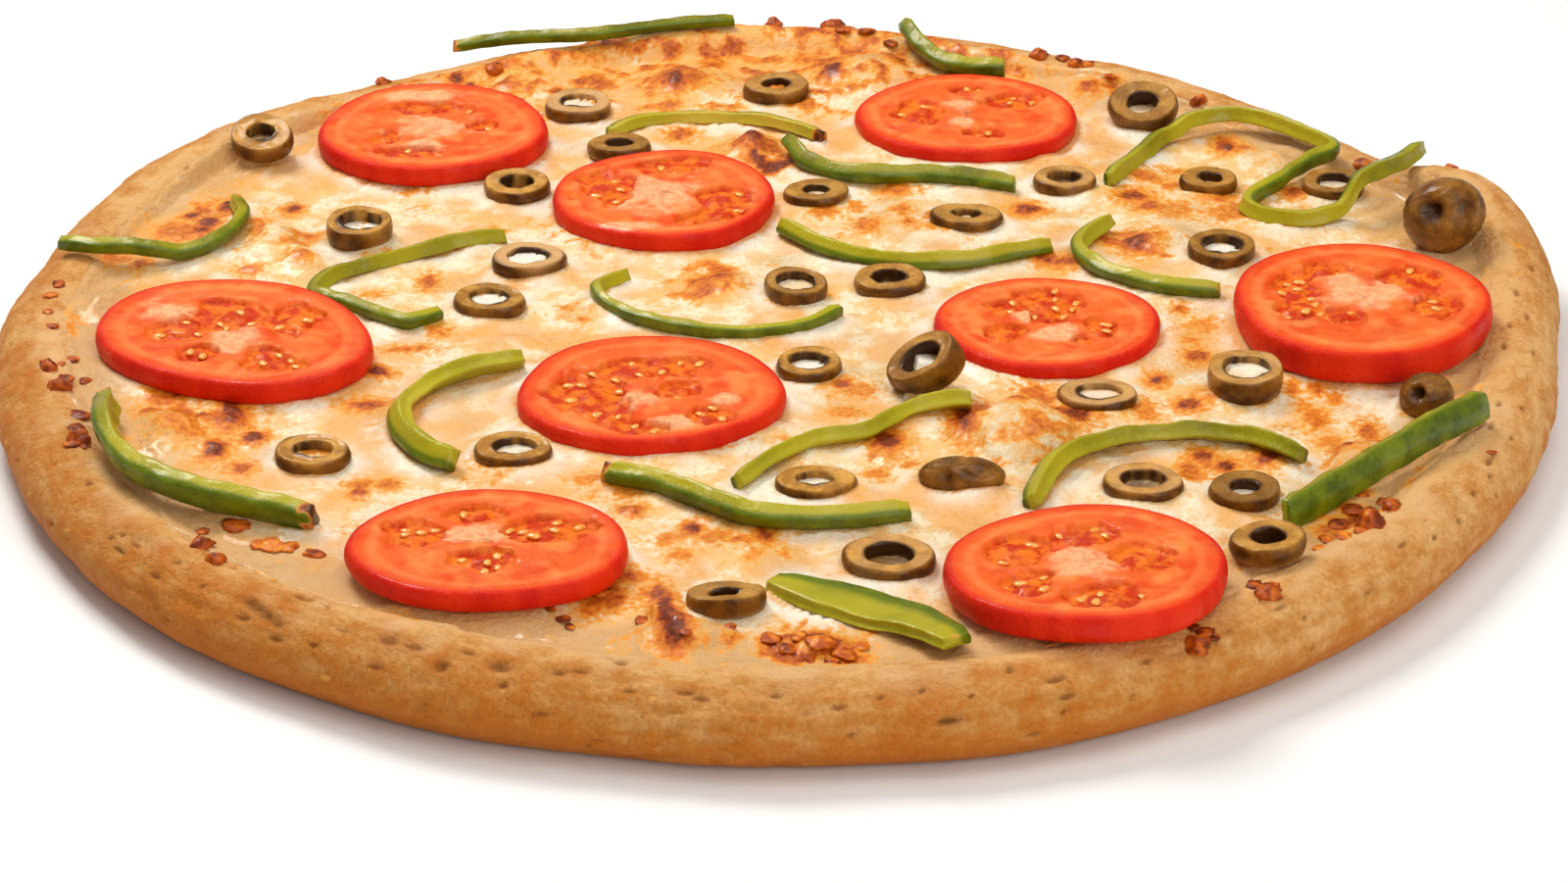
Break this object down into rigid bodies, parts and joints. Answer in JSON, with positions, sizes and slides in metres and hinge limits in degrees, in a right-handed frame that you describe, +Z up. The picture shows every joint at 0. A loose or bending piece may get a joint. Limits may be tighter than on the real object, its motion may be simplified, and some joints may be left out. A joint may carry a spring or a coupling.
{
  "type": "vegetarian pizza",
  "caption": "Round baked pizza with a raised, uneven crust, melted cheese, tomato slices, green pepper strips and green olive rings.",
  "frame": {"origin": "centre of the flat underside", "axes": "+Z up out of the topping side, -Y towards the viewer in the picture"},
  "size_m": [0.3428, 0.3384, 0.0324],
  "materials": {
    "crust": "baked dough, floury and matt",
    "cheese": "melted cheese, satin with oily gloss",
    "tomato": "wet cut tomato, glossy",
    "pepper": "cooked green pepper, glossy skin",
    "olive": "cooked green olive, oily"
  },
  "bodies": {
    "root": {"cheese": "cheese", "crust": "crust", "olive_end_18": "olive", "olive_end_26": "olive", "olive_end_32": "olive", "olive_ring_01": "olive", "olive_ring_02": "olive", "olive_ring_03": "olive", "olive_ring_04": "olive", "olive_ring_05": "olive", "olive_ring_06": "olive", "olive_ring_07": "olive", "olive_ring_08": "olive", "olive_ring_09": "olive", "olive_ring_10": "olive", "olive_ring_11": "olive", "olive_ring_12": "olive", "olive_ring_13": "olive", "olive_ring_14": "olive", "olive_ring_15": "olive", "olive_ring_16": "olive", "olive_ring_17": "olive", "olive_ring_19": "olive", "olive_ring_20": "olive", "olive_ring_21": "olive", "olive_ring_22": "olive", "olive_ring_23": "olive", "olive_ring_24": "olive", "olive_ring_25": "olive", "olive_ring_27": "olive", "olive_ring_28": "olive", "olive_ring_29": "olive", "olive_ring_30": "olive", "olive_ring_31": "olive", "pepper_strip_01": "pepper", "pepper_strip_02": "pepper", "pepper_strip_03": "pepper", "pepper_strip_04": "pepper", "pepper_strip_05": "pepper", "pepper_strip_06": "pepper", "pepper_strip_07": "pepper", "pepper_strip_08": "pepper", "pepper_strip_09": "pepper", "pepper_strip_10": "pepper", "pepper_strip_11": "pepper", "pepper_strip_12": "pepper", "pepper_strip_13": "pepper", "pepper_strip_14": "pepper", "pepper_strip_15": "pepper", "pepper_strip_16": "pepper", "pepper_strip_17": "pepper", "tomato_slice_1": "tomato", "tomato_slice_2": "tomato", "tomato_slice_3": "tomato", "tomato_slice_4": "tomato", "tomato_slice_5": "tomato", "tomato_slice_6": "tomato", "tomato_slice_7": "tomato", "tomato_slice_8": "tomato", "tomato_slice_9": "tomato"}
  },
  "joints": []
}
